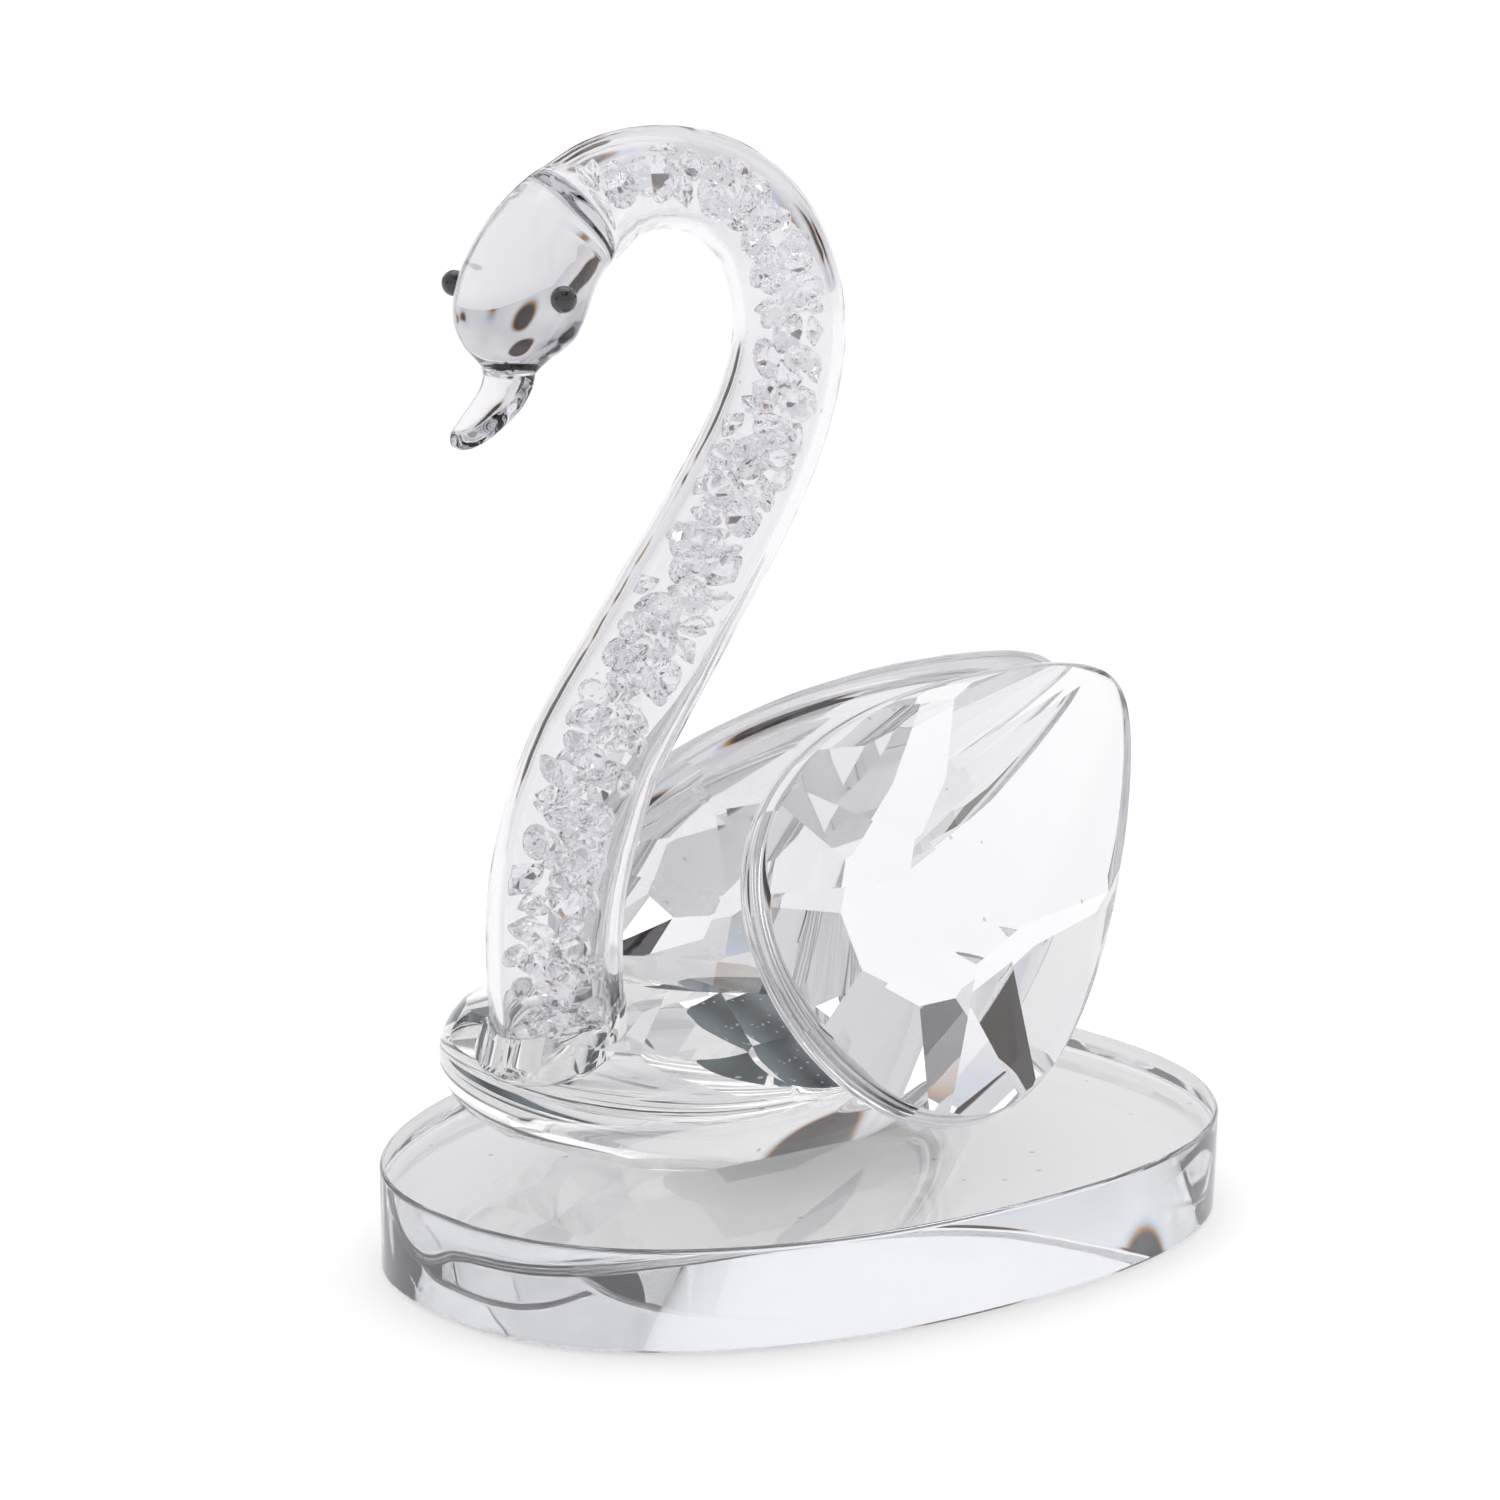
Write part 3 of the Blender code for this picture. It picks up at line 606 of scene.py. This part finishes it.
def pillow_crystal(cut):
    """Pear crystal with a rounded, polished rim and flat facets cut into it, in its (u, w, n) frame."""
    width, _, crown, _ = cut
    outline = pear_outline(width, PEAR_SIDES)
    bm = bmesh.new()
    rings = []
    for step in range(-RIM_STEPS, RIM_STEPS + 1):
        turn = 0.5 * math.pi * step / RIM_STEPS
        shrink = 1.0 - RIM_REACH * (1.0 - math.cos(turn)) / (0.5 * width)
        height = crown * math.sin(turn)
        shift = PEAR_HEART * (1.0 - shrink)
        ring = [(u * shrink + shift, w * shrink, height) for u, w in outline]
        rings.append([bm.verts.new(corner) for corner in ring])
    for lower, upper in zip(rings, rings[1:]):
        bridge(bm, lower, upper)
    bm.faces.new(rings[0][::-1])
    bm.faces.new(rings[-1])
    for face in bm.faces:
        face.smooth = True
    for point, normal in crown_planes(cut):
        cut_facet(bm, point, normal)
        mirrored_point = Vector((point.x, point.y, -point.z))
        cut_facet(bm, mirrored_point, Vector((normal.x, normal.y, -normal.z)))
    bmesh.ops.remove_doubles(bm, verts=bm.verts[:], dist=SHORTEST_EDGE)
    return bm


def body_frame():
    """Axes and origin of the body crystal: its long underside facet lies flat on the adhesive."""
    width, girdle, crown, _ = BODY_CUT
    pitch = math.atan((crown - girdle) / pear_support(0.0, pear_outline(width, PEAR_FIT_SIDES)))
    axis_u = Vector((0.0, math.cos(pitch), -math.sin(pitch)))
    axis_w = Vector((-1.0, 0.0, 0.0))
    height = BODY_FLOOR + 0.5 * PEAR_LENGTH * math.sin(pitch) + girdle * math.cos(pitch)
    return axis_u, axis_w, axis_u.cross(axis_w), Vector((0.0, BODY_CENTRE_Y, height))


def wing_frame():
    """Axes and origin of the left wing crystal; its outer face looks out and up."""
    lean = math.radians(WING_LEAN)
    yaw = math.radians(WING_YAW)
    rise = math.radians(WING_RISE)
    axis_n = Vector((math.cos(lean) * math.cos(yaw), math.cos(lean) * math.sin(yaw), math.sin(lean)))
    level = Vector((-axis_n.y, axis_n.x, 0.0)).normalized()
    upward = axis_n.cross(level)
    axis_u = math.cos(rise) * level + math.sin(rise) * upward
    return axis_u, axis_n.cross(axis_u), axis_n, Vector(WING_CENTRE)


def place(bm, axis_u, axis_w, axis_n, origin):
    """Move a crystal from its own (u, w, n) frame to the figurine's frame."""
    turn = Matrix((axis_u, axis_w, axis_n)).transposed().to_4x4()
    bm.transform(Matrix.Translation(origin) @ turn)


def build_crystals(material, body_material):
    """Body and wings as pillow-rimmed cut crystals."""
    bm = pillow_crystal(BODY_CUT)
    place(bm, *body_frame())
    for side in (-1.0, 1.0):
        normal = Vector((side * WING_SEAT_NORMAL[0], *WING_SEAT_NORMAL[1:])).normalized()
        cut_facet(bm, normal * WING_SEAT_REACH, normal)
    drill_seat(add_crystal("body_cut", bm, body_material, "body_crystal"))
    for name, side in (("left_wing", 1.0), ("right_wing", -1.0)):
        bm = pillow_crystal(WING_CUT)
        place(bm, *wing_frame())
        bmesh.ops.scale(bm, vec=(side, 1.0, 1.0), verts=bm.verts[:])
        add_crystal(name + "_cut", bm, material, name)


def drill_seat(body):
    """Drill the round seat for the foot of the neck, and keep only the result."""
    centre, _, tangent = path_frames(smooth_path(NECK_PATH, SKIN_STEPS))[0]
    side = Vector((1.0, 0.0, 0.0))
    normal = tangent.cross(side)
    bm = bmesh.new()
    rings = []
    profile = ((0.0, SEAT_RADIUS - SEAT_BEVEL), (SEAT_BEVEL, SEAT_RADIUS), (SEAT_REACH, SEAT_RADIUS))
    for height, radius in profile:
        middle = centre + tangent * (height - SEAT_FLOOR)
        ring = []
        for step in range(SEAT_SIDES):
            turn = 2.0 * math.pi * step / SEAT_SIDES
            offset = (side * math.cos(turn) + normal * math.sin(turn)) * radius
            ring.append(bm.verts.new((middle + offset) * MM))
        rings.append(ring)
    for lower, upper in zip(rings, rings[1:]):
        bridge(bm, lower, upper)
    bm.faces.new(rings[0][::-1])
    bm.faces.new(rings[-1])
    bmesh.ops.recalc_face_normals(bm, faces=bm.faces[:])
    for face in bm.faces:
        face.smooth = len(face.verts) == 4
    mesh = bpy.data.meshes.new("seat_drill")
    bm.to_mesh(mesh)
    bm.free()
    drill = bpy.data.objects.new("seat_drill", mesh)
    bpy.context.scene.collection.objects.link(drill)
    cut = body.modifiers.new("seat", "BOOLEAN")
    cut.operation = "DIFFERENCE"
    cut.solver = "EXACT"
    cut.object = drill
    graph = bpy.context.evaluated_depsgraph_get()
    result = bpy.data.meshes.new_from_object(body.evaluated_get(graph))
    body.modifiers.clear()
    body.data = result
    bpy.data.objects.remove(drill)


def add_crystal(name, bm, material, node):
    """Add a crystal whose faces keep their own smooth or flat shading."""
    bmesh.ops.recalc_face_normals(bm, faces=bm.faces[:])
    shading = [face.smooth for face in bm.faces]
    piece = add_piece(name, bm, material, False, (node,))
    piece.data.polygons.foreach_set("use_smooth", shading)
    return piece


def brilliant_points():
    """Corners of a small round brilliant of radius 1, table up."""
    points = []
    for share, height, count, turn in BRILLIANT_RINGS:
        for step in range(count):
            angle = 2.0 * math.pi * (step + turn) / count
            points.append(Vector((share * math.cos(angle), share * math.sin(angle), height)))
    points.append(Vector((0.0, 0.0, -PAVILION_DEPTH)))
    return points


def brilliant_mesh():
    """(corners, faces) of the brilliant, from its convex hull."""
    bm = bmesh.new()
    for point in brilliant_points():
        bm.verts.new(point)
    bmesh.ops.convex_hull(bm, input=bm.verts[:])
    bmesh.ops.dissolve_limit(bm, angle_limit=0.01, verts=bm.verts[:], edges=bm.edges[:])
    bmesh.ops.recalc_face_normals(bm, faces=bm.faces[:])
    bm.verts.index_update()
    corners = [vert.co.copy() for vert in bm.verts]
    faces = [tuple(vert.index for vert in face.verts) for face in bm.faces]
    bm.free()
    return corners, faces


def cad_stone_pose(node):
    """(centre, axis towards the table) of a CAD stone in millimetres, from its mesh."""
    points = np.array([vert.co for vert in node.data.vertices], float)
    points = np.unique(np.round(points / MM, 4), axis=0)
    middle = points.mean(0)
    _, _, axes = np.linalg.svd(points - middle)
    axis = axes[2]
    heights = (points - middle) @ axis
    if abs(heights.min()) < abs(heights.max()):
        axis = -axis
        heights = -heights
    tip = heights.min()
    centre = middle + axis * (tip + PAVILION_DEPTH * STONE_RADIUS)
    return Vector(centre), Vector(axis)


def stone_turn(axis, spin):
    """Rotation that takes the table of a brilliant to an axis, after a spin about it."""
    return axis.to_track_quat("Z", "Y").to_matrix() @ Matrix.Rotation(spin, 3, "Z")


def add_stone(bm, corners, faces):
    """Add one placed brilliant to a bmesh."""
    verts = [bm.verts.new(corner) for corner in corners]
    for face in faces:
        bm.faces.new([verts[index] for index in face])


def fits_bore(corners, samples, index):
    """True when every corner of a stone stays inside the bore with a little clearance."""
    for corner in corners:
        nearby = samples[max(0, index - FILLER_WINDOW):index + FILLER_WINDOW + 1]
        row = min(nearby, key=lambda item: (item[0] - corner.y) ** 2 + (item[1] - corner.z) ** 2)
        distance = math.sqrt(corner.x ** 2 + (row[0] - corner.y) ** 2 + (row[1] - corner.z) ** 2)
        past_end = row is samples[0] or row is samples[-1]
        if past_end or distance > row[2] - NECK_WALL - WALL_CLEARANCE:
            return False
    return True


def stands_clear(origin, corners, faces, radius, placed):
    """True when a stone, grown by the clearance, crosses none of the stones already placed."""
    grown = [origin + (corner - origin) * (1.0 + STONE_CLEARANCE / radius) for corner in corners]
    tree = None
    for other, other_radius, other_tree in placed:
        distance = (other - origin).length
        if distance < CLOSEST_CENTRES * (radius + other_radius):
            return False
        if distance < radius + other_radius + STONE_CLEARANCE:
            tree = tree or BVHTree.FromPolygons(grown, faces)
            if tree.overlap(other_tree):
                return False
    return True


def build_stones(material, filler_material):
    """Loose brilliants in the neck: one for each CAD stone, and smaller ones between them."""
    dice = random.Random(FILLER_SEED)
    shape, faces = brilliant_mesh()
    placed = []
    for name in sorted(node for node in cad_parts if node.startswith("stone_")):
        centre, axis = cad_stone_pose(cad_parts[name])
        turn = stone_turn(axis, dice.uniform(0.0, math.pi))
        corners = [centre + turn @ (corner * STONE_RADIUS) for corner in shape]
        bm = bmesh.new()
        add_stone(bm, corners, faces)
        add_piece(name + "_cut", bm, material, False, (name,))
        placed.append((centre, STONE_RADIUS, BVHTree.FromPolygons(corners, faces)))
    fill = bmesh.new()
    samples = smooth_path(NECK_PATH, FILLER_STEPS)
    frames = path_frames(samples)
    for number in range(FILLER_COUNT):
        aim = FILLER_AIMS[0] + (FILLER_AIMS[1] - FILLER_AIMS[0]) * number / (FILLER_COUNT - 1)
        for _ in range(FILLER_TRIES):
            index = round(aim + dice.uniform(-FILLER_DRIFT, FILLER_DRIFT))
            index = min(FILLER_ENDS[1], max(FILLER_ENDS[0], index))
            centre, normal, _ = frames[index]
            radius = dice.uniform(*FILLER_RADII)
            room = samples[index][2] - NECK_WALL - 0.6 * radius
            angle = dice.uniform(0.0, 2.0 * math.pi)
            reach = room * math.sqrt(dice.random())
            offset = Vector((math.cos(angle), 0.0, 0.0)) + normal * math.sin(angle)
            origin = centre + offset * reach
            axis = Vector((dice.gauss(0, 1), dice.gauss(0, 1), dice.gauss(0, 1))).normalized()
            turn = stone_turn(axis, dice.uniform(0.0, math.pi))
            corners = [origin + turn @ (corner * radius) for corner in shape]
            clear = fits_bore(corners, samples, index)
            if clear and stands_clear(origin, corners, faces, radius, placed):
                placed.append((origin, radius, BVHTree.FromPolygons(corners, faces)))
                add_stone(fill, corners, faces)
                break
    add_piece("filler_stones", fill, filler_material, False)


def build_film(clear, painted_shade):
    """Glue under the body: clear from below and at its edge; its top face, against the crystal, carries
    painted shade in dark teal.
    """
    bm = bmesh.new()
    power = 2.0 / FILM_POWER
    rings = []
    profile = ((FILM_LOW, FILM_EDGE_SHARE), (FILM_LOW + FILM_EDGE, 1.0),
               (FILM_HIGH - FILM_EDGE, 1.0), (FILM_HIGH, FILM_EDGE_SHARE))
    for height, share in profile:
        ring = []
        for side in range(FILM_SIDES):
            angle = 2.0 * math.pi * side / FILM_SIDES
            ripple = 1.0 + 0.02 * math.sin(5.0 * angle) + 0.012 * math.sin(11.0 * angle + 1.0)
            wobble = share * ripple
            x = FILM_CENTRE[0] + FILM_HALF_WIDTH * wobble * signed_power(math.cos(angle), power)
            y = FILM_CENTRE[1] + FILM_HALF_LENGTH * wobble * signed_power(math.sin(angle), power)
            ring.append(bm.verts.new((x, y, height)))
        rings.append(ring)
    for lower, upper in zip(rings, rings[1:]):
        bridge(bm, lower, upper)
    bm.faces.new(rings[0][::-1])
    top = bm.faces.new(rings[-1])
    # the top face takes the material with the painted shade
    top.material_index = 1
    piece = add_piece("glue_film", bm, clear, False, ("body_adhesive",))
    piece.data.materials.append(painted_shade)


def build_eyes(material):
    """Round black beads, one on each side of the head."""
    for side in ("left_eye", "right_eye"):
        low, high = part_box(side)
        bm = bmesh.new()
        bmesh.ops.create_icosphere(bm, subdivisions=4, radius=0.5 * (high.z - low.z) / MM)
        bmesh.ops.translate(bm, vec=(low + high) * 0.5 / MM, verts=bm.verts[:])
        add_piece(side + "_bead", bm, material, True, (side,))


def build_floor():
    """Large plain pale floor."""
    bm = bmesh.new()
    signs = ((-1, -1), (1, -1), (1, 1), (-1, 1))
    bm.faces.new([bm.verts.new((x * FLOOR_REACH, y * FLOOR_REACH, FLOOR_DROP)) for x, y in signs])
    mesh = bpy.data.meshes.new("floor")
    bm.to_mesh(mesh)
    bm.free()
    mesh.materials.append(floor_material())
    floor = bpy.data.objects.new("floor", mesh)
    bpy.context.scene.collection.objects.link(floor)


def build_world():
    """Soft pale studio with darker gaps between its panels; the backdrop itself is plain white."""
    world = bpy.data.worlds.new("studio")
    bpy.context.scene.world = world
    world.use_nodes = True
    tree = world.node_tree
    shader = tree.nodes["Background"]
    shader.inputs["Strength"].default_value = WORLD_STRENGTH
    place = tree.nodes.new("ShaderNodeTexCoord")
    gaps = new_node(tree, "ShaderNodeTexNoise", Scale=GAP_SCALE, Detail=1.0, Roughness=0.4)
    tree.links.new(place.outputs["Generated"], gaps.inputs["Vector"])
    tone = add_ramp(tree, gaps.outputs["Fac"], GAP_TONES)
    current = tone.outputs["Color"]
    for direction, start, full in PANELS:
        current = add_panel(tree, place.outputs["Generated"], direction, start, full, current)
    for direction, edge in FLAGS:
        current = add_flag(tree, place.outputs["Generated"], direction, edge, current)
    ray = tree.nodes.new("ShaderNodeLightPath")
    backdrop = new_node(tree, "ShaderNodeMix")
    backdrop.data_type = "RGBA"
    backdrop.inputs["B"].default_value = BACKDROP_TONE
    tree.links.new(ray.outputs["Is Camera Ray"], backdrop.inputs["Factor"])
    tree.links.new(current, backdrop.inputs["A"])
    tree.links.new(backdrop.outputs["Result"], shader.inputs["Color"])


def add_ramp(tree, source, stops):
    """Colour ramp through (position, colour) stops, fed by a source."""
    node = tree.nodes.new("ShaderNodeValToRGB")
    ramp = node.color_ramp
    for index, (position, colour) in enumerate(stops):
        stop = ramp.elements[index] if index < 2 else ramp.elements.new(position)
        stop.position = position
        stop.color = (*colour, 1.0)
    tree.links.new(source, node.inputs["Fac"])
    return node


def add_panel(tree, place, direction, start, full, current):
    """Soft white panel round one direction."""
    facing = tree.nodes.new("ShaderNodeVectorMath")
    facing.operation = "DOT_PRODUCT"
    facing.inputs[1].default_value = Vector(direction).normalized()
    tree.links.new(place, facing.inputs[0])
    inside = new_node(tree, "ShaderNodeMapRange", From_Min=start, From_Max=full)
    tree.links.new(facing.outputs["Value"], inside.inputs["Value"])
    panel = tree.nodes.new("ShaderNodeMix")
    panel.data_type = "RGBA"
    panel.inputs["B"].default_value = PANEL_TONE
    tree.links.new(inside.outputs["Result"], panel.inputs["Factor"])
    tree.links.new(current, panel.inputs["A"])
    return panel.outputs["Result"]


def add_flag(tree, place, direction, edge, current):
    """Round black flag in one direction, with a warm and a blue fringe at its rim."""
    facing = tree.nodes.new("ShaderNodeVectorMath")
    facing.operation = "DOT_PRODUCT"
    facing.inputs[1].default_value = Vector(direction).normalized()
    tree.links.new(place, facing.inputs[0])
    inside = new_node(tree, "ShaderNodeMapRange", From_Min=edge - FLAG_EDGE,
                      From_Max=edge + FLAG_EDGE)
    tree.links.new(facing.outputs["Value"], inside.inputs["Value"])
    shade = add_ramp(tree, inside.outputs["Result"], FLAG_TONES)
    product = tree.nodes.new("ShaderNodeMix")
    product.data_type = "RGBA"
    product.blend_type = "MULTIPLY"
    product.inputs["Factor"].default_value = 1.0
    tree.links.new(current, product.inputs["A"])
    tree.links.new(shade.outputs["Color"], product.inputs["B"])
    return product.outputs["Result"]


def build_lights():
    """Large soft light overhead."""
    light = bpy.data.lights.new("overhead", "AREA")
    light.shape = "SQUARE"
    light.size = LAMP_SIZE
    light.energy = LAMP_POWER
    lamp = bpy.data.objects.new("overhead", light)
    lamp.location = LAMP_PLACE
    aim = Vector(LAMP_AIM) - lamp.location
    lamp.rotation_euler = aim.to_track_quat("-Z", "Y").to_euler()
    bpy.context.scene.collection.objects.link(lamp)


def build_camera():
    """Camera at the photographed angle."""
    data = bpy.data.cameras.new("camera")
    data.lens = CAMERA_LENS
    data.sensor_width = 36.0
    data.shift_y = CAMERA_SHIFT
    data.clip_start = 0.01
    azimuth = math.radians(CAMERA_AZIMUTH)
    elevation = math.radians(CAMERA_ELEVATION)
    roll = math.radians(CAMERA_ROLL)
    back = Vector((math.sin(azimuth) * math.cos(elevation), -math.cos(azimuth) * math.cos(elevation),
                   math.sin(elevation)))
    right = (-back).cross(Vector((0.0, 0.0, 1.0))).normalized()
    up = right.cross(-back)
    across = right * math.cos(roll) + up * math.sin(roll)
    upward = up * math.cos(roll) - right * math.sin(roll)
    camera = bpy.data.objects.new("camera", data)
    turn = Matrix((across, upward, back)).transposed().to_4x4()
    camera.matrix_world = Matrix.Translation(CAMERA_PLACE) @ turn
    bpy.context.scene.collection.objects.link(camera)
    bpy.context.scene.camera = camera


def main():
    """Build every piece and the stage."""
    crystal = glass_material("cut_crystal", **CRYSTAL)
    body = glass_material("body_clear", **BODY)
    plinth = glass_material("plinth_clear", **PLINTH_CLEAR)
    wall = glass_material("plinth_wall_shaded", **PLINTH_WALL_SHADED)
    tube = glass_material("worked_glass", **TUBE)
    stone = glass_material("stone_clear", **STONE)
    bright_stone = glass_material("stone_bright", **BRIGHT_STONE)
    film = glass_material("adhesive_clear", **ADHESIVE)
    bead = bead_material("bead_black")
    build_plinth(plinth, wall)
    build_swan_glass(tube)
    build_stones(bright_stone, stone)
    build_eyes(bead)
    build_crystals(crystal, body)
    # the glue's top face carries painted shade in dark teal
    build_film(film, painted_shade_glue_material("adhesive_painted_shade"))
    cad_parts["seat_adhesive"].data.materials.clear()
    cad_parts["seat_adhesive"].data.materials.append(film)
    build_floor()
    build_world()
    build_lights()
    build_camera()
    scene = bpy.context.scene
    scene.view_settings.view_transform = "Standard"
    scene.cycles.max_bounces = LONGEST_PATH
    scene.cycles.transmission_bounces = LONGEST_PATH
    scene.cycles.glossy_bounces = 12
    scene.cycles.transparent_max_bounces = 16


main()
